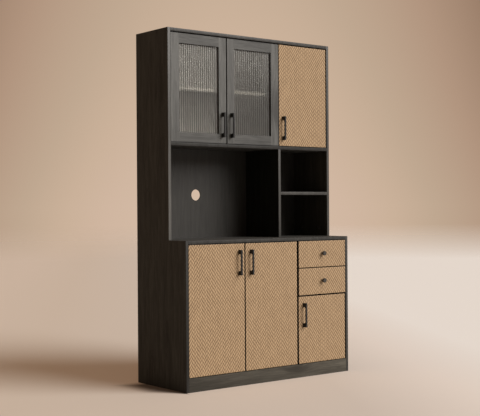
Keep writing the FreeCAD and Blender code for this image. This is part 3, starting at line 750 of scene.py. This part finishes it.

# %% Frames of the glass doors
# Painted light: the frames take lighter, greyer tones than the boards, as lit faces look.
STAINED = ((0.031, 0.0305, 0.0278), (0.0785, 0.0775, 0.072), (0.13, 0.128, 0.12))
REBATE = ((0.018, 0.0175, 0.016), (0.042, 0.041, 0.038))
# A thin painted shadow line along each frame's foot and head, this high.
SHADOW_LINE_FOOT, SHADOW_LINE_HEAD = 0.0025, 0.002
PANE_HIDDEN = 0.0075
# Painted shade: the foot of the left frame and the left part of the middle frame are darker.
FRAME_PAINTED_SHADE = {"hutch_left_door": {"axis": 2, "start": 0.05, "end": 0.1, "tone": 0.82},
          "hutch_middle_door": {"axis": 0, "start": 0.22, "end": 0.26, "tone": 0.85}}
for door, part in FRAME_PAINTED_SHADE.items():
    low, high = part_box(f"{door}_frame")
    pane_low, pane_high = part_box(f"{door}_pane")
    rails = ((pane_low.x + pane_high.x) / 2, (pane_high.x - pane_low.x) / 2 - PANE_HIDDEN)
    stain = grain_finish(f"{door}_stain", STAINED, rails=rails, rough=(0.4, 0.56), shine=0.4, edges=REBATE,
                         shadow_lines=(low.z + SHADOW_LINE_FOOT, high.z - SHADOW_LINE_HEAD))
    origin = low[part["axis"]]
    shade_along(stain, part["axis"], origin + part["start"], origin + part["end"], part["tone"], 1.0)
    own_finish[f"{door}_frame"] = stain
print("nodes with a finish of their own:", list(own_finish))

# %% [markdown]
# ## The weave and the tan boards under it
#
# Each strand of the weave has its own tone, a darker groove on both sides and fine fibres along it. The
# strand and column counts that were stored with the points say where a groove lies, so the colour fits the
# relief everywhere. The boards under the weave show only their backs, in a plain tan, their edges, and the
# bare strips of their fronts. Edges and fronts are painted nearly black, a painted shade, so that the gaps
# between the doors look dark.

# %% Weave finish and tan board finish
FIBRES_ACROSS, FIBRES_ALONG = 3.0, 14.0
TONE_SHARE, GROOVE_SHARE, DEPTH_START = 0.12, 1.7, -0.02
FOLD_FROM, FOLD_DARKER = 0.475, 0.06
STRAND_TONES = ((0.0, (0.477, 0.325, 0.188)), (0.43, (0.431, 0.288, 0.164)),
                (0.58, (0.248, 0.159, 0.087)), (0.95, (0.135, 0.083, 0.044)))
TAN = ((0.3, 0.205, 0.12), (0.4, 0.285, 0.175), (0.46, 0.335, 0.21))
# EDGE is nearly black: on the tan boards' edges and fronts a painted shade; the backs' edges take it too.
EDGE = ((0.008, 0.0075, 0.007), (0.022, 0.021, 0.0195))


def from_middle(tree, count):
    """How far a count lies from the middle between two whole numbers, 0 to 0.5."""
    return maths(tree, "ABSOLUTE", maths(tree, "SUBTRACT", maths(tree, "FRACT", count), 0.5))


woven_strands, tree, shader = new_finish("woven_strands")
strand = add(tree, "Attribute", attribute_name="strand").outputs["Fac"]
column = add(tree, "Attribute", attribute_name="column").outputs["Fac"]
which = add(tree, "CombineXYZ", {0: maths(tree, "FLOOR", strand), 1: maths(tree, "FLOOR", column)})
own_tone = add(tree, "TexWhiteNoise", {"Vector": which.outputs[0]},
               noise_dimensions="2D").outputs["Value"]
along = add(tree, "CombineXYZ", {0: maths(tree, "MULTIPLY", column, FIBRES_ACROSS),
                                 1: maths(tree, "MULTIPLY", strand, FIBRES_ALONG), 2: own_tone})
fibre = noise(tree, along.outputs[0], 1.0)
depth = maths(tree, "MULTIPLY_ADD", from_middle(tree, strand), GROOVE_SHARE, DEPTH_START)
depth = maths(tree, "MULTIPLY_ADD", own_tone, TONE_SHARE, depth)
fold = maths(tree, "GREATER_THAN", from_middle(tree, column), FOLD_FROM)
depth = maths(tree, "ADD", depth, maths(tree, "MULTIPLY", fold, FOLD_DARKER))
depth = maths(tree, "ADD", depth, spread(tree, fibre, -0.04, 0.08))
set_sockets(tree, shader, {"Base Color": ramp(tree, depth, *STRAND_TONES), "Specular IOR Level": 0.25,
                           "Roughness": spread(tree, fibre, 0.5, 0.72),
                           "Normal": bump(tree, fibre, strength=0.3, distance=0.0003)})
tan_board = grain_finish("tan_board", TAN, rough=(0.46, 0.62), shine=0.3, knots=0.0, edges=EDGE, backed=True)
print("weave nodes:", len(tree.nodes))

# %% [markdown]
# ## Ribbed glass
#
# The panes blur what lies behind them and look pale grey. Their body colour is light on the crowns of the
# ribs and dark in the furrows between them, painted light and shade for the light that the ribs bend. Over
# that, the left pane is painted brighter than the middle one, both are painted brighter to the left, and
# both are painted darker just under the level of the shelf, as its shadow. Most of the light passes; a part
# is scattered by the body colour. Lamps would stop at such a pane, since light that is bent can't be aimed
# at them, so a shadow ray meets a plain transparent surface instead.

# %% Glass finish
# Painted light and shade: the body colour is light on the crowns and dark in the furrows.
RIB_TONES = ((0.15, (0.1, 0.097, 0.088)), (0.95, (0.75, 0.728, 0.664)))
WAVES, WAVE_CLOUD = 30.0, 0.05
# Painted light: each pane is brighter towards its left.
BRIGHTER_TO_LEFT = 0.5
SHADOW_TINT = (0.9, 0.9, 0.88, 1)


def let_through(tree, shader, share, tint):
    """Mix a share of plain transparency into a finish, as what its material shows."""
    clear = add(tree, "BsdfTransparent", {"Color": tint})
    mixed = add(tree, "MixShader", {0: share, 1: shader.outputs[0], 2: clear.outputs[0]})
    set_sockets(tree, tree.nodes["Material Output"], {"Surface": mixed.outputs[0]})


def glass_finish(name, pane, painted_light):
    """Ribbed glass; painted_light lists (height, painted brightness from 0 to 1), a little less to the right.
    """
    low, high = pane
    made, tree, shader = new_finish(name)
    place = own_place(tree)
    x, _, z = parts(tree, place)
    wavy = noise(tree, place, WAVES, detail=2.0, roughness=0.55)
    crown = add(tree, "Attribute", attribute_name="crown").outputs["Fac"]
    body = ramp(tree, maths(tree, "ADD", crown, spread(tree, wavy, -WAVE_CLOUD, WAVE_CLOUD)), *RIB_TONES)
    share = maths(tree, "DIVIDE", maths(tree, "SUBTRACT", z, low.z), high.z - low.z)
    pane_brightness = ramp(tree, share, *[((level - low.z) / (high.z - low.z), (painted_brightness,) * 3) for level, painted_brightness in painted_light])
    to_left = maths(tree, "SUBTRACT", (low.x + high.x) / 2, x)
    pane_brightness = maths(tree, "ADD", pane_brightness, maths(tree, "MULTIPLY", to_left, BRIGHTER_TO_LEFT))
    set_sockets(tree, shader, {"Base Color": scaled(tree, body, pane_brightness), "Transmission Weight": 0.92,
                               "IOR": 1.5, "Specular IOR Level": 0.1,
                               "Roughness": spread(tree, wavy, 0.28, 0.34),
                               "Normal": bump(tree, wavy, strength=0.15, distance=0.0006)})
    let_through(tree, shader, add(tree, "LightPath").outputs["Is Shadow Ray"], SHADOW_TINT)
    return made


# Painted light and shade by height on each pane, darker just under the shelf as its shadow.
PANE_PAINTED_LIGHT = {"hutch_left_door": [(1.3, 0.79), (1.44, 0.45), (1.487, 0.37), (1.499, 0.86), (1.56, 0.88),
                            (1.65, 0.82)],
        "hutch_middle_door": [(1.3, 0.33), (1.38, 0.28), (1.487, 0.31), (1.499, 0.4), (1.58, 0.43),
                              (1.69, 0.58)]}
glass = {door: glass_finish(f"{door}_glass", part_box(f"{door}_pane"), painted_light) for door, painted_light in PANE_PAINTED_LIGHT.items()}
print("glass finishes:", [made.name for made in glass.values()])

# %% [markdown]
# ## Metal, plastic and the plain inner boards
#
# Small parts get simple finishes that still have a grain at the right scale: powder coat is slightly pebbled,
# rolled steel has fine scratches in one direction, moulded plastic is finely textured, raw wood is fibrous.
# The knobs are a little browner than the handles. The strip on the shelf is painted lighter to the right,
# as painted light.

# %% Finishes for fittings
SCRATCHED = {"stretch": (0.05, 1, 1), "height": 0.00008}
STRIP_LEFT, STRIP_RIGHT = -0.1, 1.95


def speckled(name, dark, light, scale, rough, metal=0.0, shine=0.5, stretch=(1, 1, 1), height=0.0002):
    """A finish from one noise: colour between two tones, roughness in a range, and a slight pebbling."""
    made, tree, shader = new_finish(name)
    place = add(tree, "Mapping", {"Vector": own_place(tree), "Scale": stretch}).outputs[0]
    grain = noise(tree, place, scale)
    set_sockets(tree, shader, {"Base Color": ramp(tree, grain, (NOISE_LOW, dark), (NOISE_HIGH, light)),
                               "Metallic": metal, "Specular IOR Level": shine,
                               "Roughness": spread(tree, grain, *rough),
                               "Normal": bump(tree, grain, strength=0.3, distance=height)})
    return made


powder_black = speckled("powder_black", (0.008, 0.008, 0.008), (0.016, 0.016, 0.016), 900.0, (0.42, 0.58),
                        shine=0.28)
knob_black = speckled("knob_black", (0.021, 0.018, 0.015), (0.041, 0.036, 0.03), 900.0, (0.3, 0.44))
rolled_steel = speckled("rolled_steel", (0.46, 0.46, 0.45), (0.62, 0.62, 0.6), 700.0, (0.28, 0.45), metal=1.0,
                        **SCRATCHED)
cast_zinc = speckled("cast_zinc", (0.4, 0.4, 0.41), (0.55, 0.55, 0.55), 500.0, (0.35, 0.55), metal=1.0)
moulded_black = speckled("moulded_black", (0.018, 0.018, 0.018), (0.034, 0.034, 0.035), 1200.0, (0.42, 0.58))
raw_beech = speckled("raw_beech", (0.48, 0.34, 0.21), (0.66, 0.51, 0.35), 300.0, (0.55, 0.75),
                     stretch=(1, 1, 0.05))
bright_strip = speckled("bright_strip", (0.45, 0.435, 0.41), (0.55, 0.535, 0.51), 700.0, (0.3, 0.5),
                        **SCRATCHED)
# Painted light: the strip's colour grows from dark at its left end to bright at its right end.
low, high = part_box("hutch_left_shelf")
shade_along(bright_strip, 0, low.x, high.x, STRIP_LEFT, STRIP_RIGHT)
print("nodes in the finish of the strip:", len(bright_strip.node_tree.nodes))

# %% Finishes for the backs and the drawers' insides
BACK = ((0.0133, 0.0122, 0.0104), (0.0242, 0.0224, 0.0193), (0.035, 0.0326, 0.0284))
LINING = ((0.05, 0.048, 0.045), (0.085, 0.082, 0.077), (0.12, 0.116, 0.11))
back_sheet = grain_finish("back_sheet", BACK, rough=(0.4, 0.55), shine=0.34, knots=0.1, edges=EDGE)
drawer_lining = grain_finish("drawer_lining", LINING, lying=True, knots=0.0)
print("nodes in the finish of the backs:", len(back_sheet.node_tree.nodes))

# %% [markdown]
# ## Dressing every board and fitting
#
# The record says which finish each node takes. A standing board takes the upright grain, a lying one the
# grain from left to right; which it is follows from the longest side of its box.

# %% Give each node and piece its finish
FINISH = {"back_board": back_sheet, "woven_panel": tan_board, "reeded_glass": glass["hutch_left_door"],
          "black_metal": powder_black, "steel": rolled_steel, "zinc": cast_zinc, "beech": raw_beech,
          "drawer_board": drawer_lining, "black_plastic": moulded_black}
own_finish.update({"upper_drawer_knob": knob_black, "lower_drawer_knob": knob_black})


def dress(thing, finish):
    """The finish becomes the thing's only material."""
    thing.data.materials.clear()
    thing.data.materials.append(finish)


for node, thing in nodes.items():
    low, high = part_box(node)
    stands = high.z - low.z > high.x - low.x
    charcoal = charcoal_upright if stands else charcoal_lying
    dress(thing, own_finish.get(node) or FINISH.get(slot_of[node], charcoal))
for thing in woven_faces:
    dress(thing, woven_strands)
for door, thing in ribbed_panes.items():
    dress(thing, glass[door])
for thing in door_fittings + [back_screws]:
    dress(thing, rolled_steel)
dress(edge_bands, charcoal_band)
dress(shelf_strip, bright_strip)
dress(cam_faces, cast_zinc)
dress(bolt_covers, moulded_black)
new_pieces = [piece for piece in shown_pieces() if "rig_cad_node" not in piece]
print("dressed", len(nodes), "nodes and", len(new_pieces), "new pieces")

# %% [markdown]
# ## Floor
#
# The cabinet stands on a pale beige floor that runs into a beige backdrop without a corner. A wall would be
# in the way of views from behind, so the floor is a wide disc that fades out towards its rim. It is painted
# paler to the right of the view, as painted light. Close to the cabinet's left side, where little light gets
# in, a darker wedge in the floor's own colour is a painted shadow that helps the lamp's shadow. A faint glow,
# which is seen but lights nothing, is painted light: it warms the floor and lifts its shadow.

# %% A disc for a floor
FLOOR_RADIUS, FLOOR_CORNERS = 48.0, 96
angle = np.linspace(0, 2 * np.pi, FLOOR_CORNERS, endpoint=False)
rim = FLOOR_RADIUS * np.stack([np.cos(angle), np.sin(angle), np.zeros_like(angle)], axis=1)
mesh = bpy.data.meshes.new("floor")
mesh.from_pydata(rim.tolist(), [], [list(range(FLOOR_CORNERS))])
floor = bpy.data.objects.new("floor", mesh)
bpy.context.scene.collection.objects.link(floor)
print("floor radius", FLOOR_RADIUS)

# %% Helpers for the floor's finish
WEDGE, LEAD, NARROWEST, WIDEST = 0.45, 0.03, 0.001, 0.085
DARK_TO, PALE_FROM, DARKEST = 0.4, 2.0, 0.15
ENDS_BEFORE, ENDS_AFTER = 0.12, 0.03


def seen_rays(tree):
    """1 for rays from the camera, from gloss and through glass, and 0 for rays that only carry light."""
    rays = add(tree, "LightPath").outputs
    return maths(tree, "MAXIMUM", rays["Is Camera Ray"], maths(
        tree, "MAXIMUM", rays["Is Glossy Ray"], rays["Is Transmission Ray"]))


def contact_shade(tree, low, high):
    """1 on the open floor, down to the darkest beside a board's left face.

    The wedge widens as a share of the way from the board's front, between its narrowest and its widest. The
    shade eases out over the distance in wedges, and behind the board's back.
    """
    x, y, _ = parts(tree, own_place(tree))
    beside = maths(tree, "SUBTRACT", low.x, x)
    along = maths(tree, "SUBTRACT", y, low.y - LEAD)
    wedge = maths(tree, "MAXIMUM", maths(tree, "MULTIPLY", along, WEDGE), NARROWEST)
    wedge = maths(tree, "MINIMUM", wedge, WIDEST)
    ratio = maths(tree, "DIVIDE", beside, wedge)
    shade = map_range(tree, ratio, DARK_TO, PALE_FROM, DARKEST, smooth=True)
    behind = map_range(tree, y, high.y - ENDS_BEFORE, high.y + ENDS_AFTER, smooth=True)
    for outside in (behind, maths(tree, "LESS_THAN", beside, 0.0), maths(tree, "LESS_THAN", along, 0.0)):
        shade = maths(tree, "MAXIMUM", shade, outside)
    return shade


print("the shade reaches", round(PALE_FROM * WIDEST, 3), "m from the side")

# %% Floor finish
VIEW_YAW = np.radians(38.449)
ahead = np.array([np.sin(VIEW_YAW), np.cos(VIEW_YAW)])
aside = np.array([np.cos(VIEW_YAW), -np.sin(VIEW_YAW)])
# Painted light: the floor's colour grows paler to the right of the view.
PALER = (*(0.25 * aside + 0.03 * ahead), 0)
FLOOR_TONES = ((0.0, (0.574, 0.516, 0.456)), (0.2, (0.547, 0.499, 0.441)), (0.6, (0.565, 0.545, 0.516)),
               (0.75, (0.75, 0.727, 0.702)), (0.9, (0.83, 0.85, 0.85)))
FADE_FROM = 13.0
# Painted light: a faint warm glow that seen rays meet, which lifts the floor's shadow.
GLOW, CLEAR = (0.12, 0.057, 0.027, 1), (1, 1, 1, 1)
pale_floor, tree, shader = new_finish("pale_floor")
place = own_place(tree)
drift = add(tree, "VectorMath", {0: place, 1: PALER}, operation="DOT_PRODUCT").outputs["Value"]
tone = ramp(tree, maths(tree, "ADD", drift, 0.5), *FLOOR_TONES)
shade = contact_shade(tree, *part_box("base_left_side"))
set_sockets(tree, shader, {"Base Color": scaled(tree, tone, shade), "Roughness": 0.75,
                           "Specular IOR Level": 0.15, "Emission Color": GLOW,
                           "Emission Strength": maths(tree, "MULTIPLY", seen_rays(tree), shade)})
radius = add(tree, "VectorMath", {0: place}, operation="LENGTH").outputs["Value"]
fade = map_range(tree, maths(tree, "DIVIDE", 1.0, radius), 1 / FADE_FROM, 1 / FLOOR_RADIUS)
let_through(tree, shader, fade, CLEAR)
dress(floor, pale_floor)
print("floor nodes:", len(tree.nodes))

# %% [markdown]
# ## Backdrop
#
# The backdrop is the world. Rays from the camera, from gloss and through glass see a beige wall that is
# brightest in the middle of the view and dims to both sides and upwards. All other rays see an even, dim warm
# light, which fills the shadows.

# %% World: a backdrop for the eye, an even fill for the light
BRIGHTEST_AT = -0.01
DIMS_ASIDE, DIMS_ASIDE_ABOVE, DIMS_ABOVE = 5.6, 11.0, 0.75
LEAST_GLOW = 0.45
WALL_TONES = ((0.5, (0.32, 0.207, 0.141)), (0.65, (0.44, 0.3, 0.213)), (0.795, (0.522, 0.39, 0.283)),
              (0.87, (0.591, 0.44, 0.323)), (0.93, (0.632, 0.47, 0.357)), (1.0, (0.66, 0.5, 0.38)))
FILL_COLOUR, FILL_STRENGTH = (1.0, 0.82, 0.64, 1), 0.215
world = bpy.data.worlds.new("studio")
bpy.context.scene.world = world
world.use_nodes = True
tree = world.node_tree
tree.nodes.clear()
gaze = add(tree, "TexCoord").outputs["Generated"]
side = add(tree, "VectorMath", {0: gaze, 1: (*aside, 0)}, operation="DOT_PRODUCT").outputs["Value"]
side = maths(tree, "SUBTRACT", side, BRIGHTEST_AT)
level = maths(tree, "MAXIMUM", parts(tree, gaze)[2], 0.0)
rate = maths(tree, "MULTIPLY_ADD", level, DIMS_ASIDE_ABOVE, DIMS_ASIDE)
dimming = maths(tree, "MULTIPLY", maths(tree, "MULTIPLY", side, side), rate)
glow = maths(tree, "MAXIMUM", maths(tree, "SUBTRACT", 1.0, dimming), LEAST_GLOW)
glow = maths(tree, "MULTIPLY", glow, maths(tree, "SUBTRACT", 1.0, maths(tree, "MULTIPLY", level, DIMS_ABOVE)))
wall = add(tree, "Background", {"Color": ramp(tree, glow, *WALL_TONES), "Strength": 1.0})
fill = add(tree, "Background", {"Color": FILL_COLOUR, "Strength": FILL_STRENGTH})
both = add(tree, "MixShader", {0: seen_rays(tree), 1: fill.outputs[0], 2: wall.outputs[0]})
add(tree, "OutputWorld", {"Surface": both.outputs[0]})
print("world nodes:", len(tree.nodes))

# %% [markdown]
# ## One big soft lamp and the camera
#
# The shadows say where the light comes from: from the front, to the right, fairly low, and from something
# very wide, because their edges blur quickly. A sun lamp with a wide angle does that and lights the whole
# floor evenly. The camera stands to the left of the cabinet, a little under a metre high, and looks level.

# %% Lamp
SUN_AZIMUTH, SUN_HEIGHT, SUN_WIDTH = np.radians(32.0), np.radians(32.0), np.radians(44.0)
lamp = bpy.data.lights.new("softbox", "SUN")
lamp.energy = 3.53
lamp.angle = SUN_WIDTH
lamp.color = (1.0, 0.975, 0.945)
softbox = bpy.data.objects.new("softbox", lamp)
bpy.context.scene.collection.objects.link(softbox)
shines = Vector((-np.sin(SUN_AZIMUTH) * np.cos(SUN_HEIGHT), np.cos(SUN_AZIMUTH) * np.cos(SUN_HEIGHT),
                 -np.sin(SUN_HEIGHT)))
softbox.rotation_mode = "QUATERNION"
softbox.rotation_quaternion = shines.to_track_quat("-Z", "Y")
print("light travels along", [round(v, 3) for v in shines])

# %% Camera
IMAGE_WIDTH, FOCAL_PIXELS, SENSOR = 480, 1051.93, 36.0
CAMERA_PLACE, FAR_END = (-3.51135, -4.36681, 0.90395), 200.0
VIEW_PITCH, VIEW_ROLL = np.radians(-0.057), np.radians(-0.362)
look = Vector((*(ahead * np.cos(VIEW_PITCH)), np.sin(VIEW_PITCH)))
level_right = look.cross(Vector((0, 0, 1))).normalized()
level_up = level_right.cross(look)
right = level_right * np.cos(VIEW_ROLL) + level_up * np.sin(VIEW_ROLL)
up = level_up * np.cos(VIEW_ROLL) - level_right * np.sin(VIEW_ROLL)
lens = bpy.data.cameras.new("camera")
lens.sensor_width = SENSOR
lens.lens = FOCAL_PIXELS * SENSOR / IMAGE_WIDTH
lens.clip_end = FAR_END
camera = bpy.data.objects.new("camera", lens)
bpy.context.scene.collection.objects.link(camera)
turn = Matrix((right, up, -look)).transposed().to_4x4()
camera.matrix_world = Matrix.Translation(CAMERA_PLACE) @ turn
bpy.context.scene.camera = camera
bpy.context.scene.view_settings.view_transform = "Standard"
print("lens", round(lens.lens, 2), "mm")
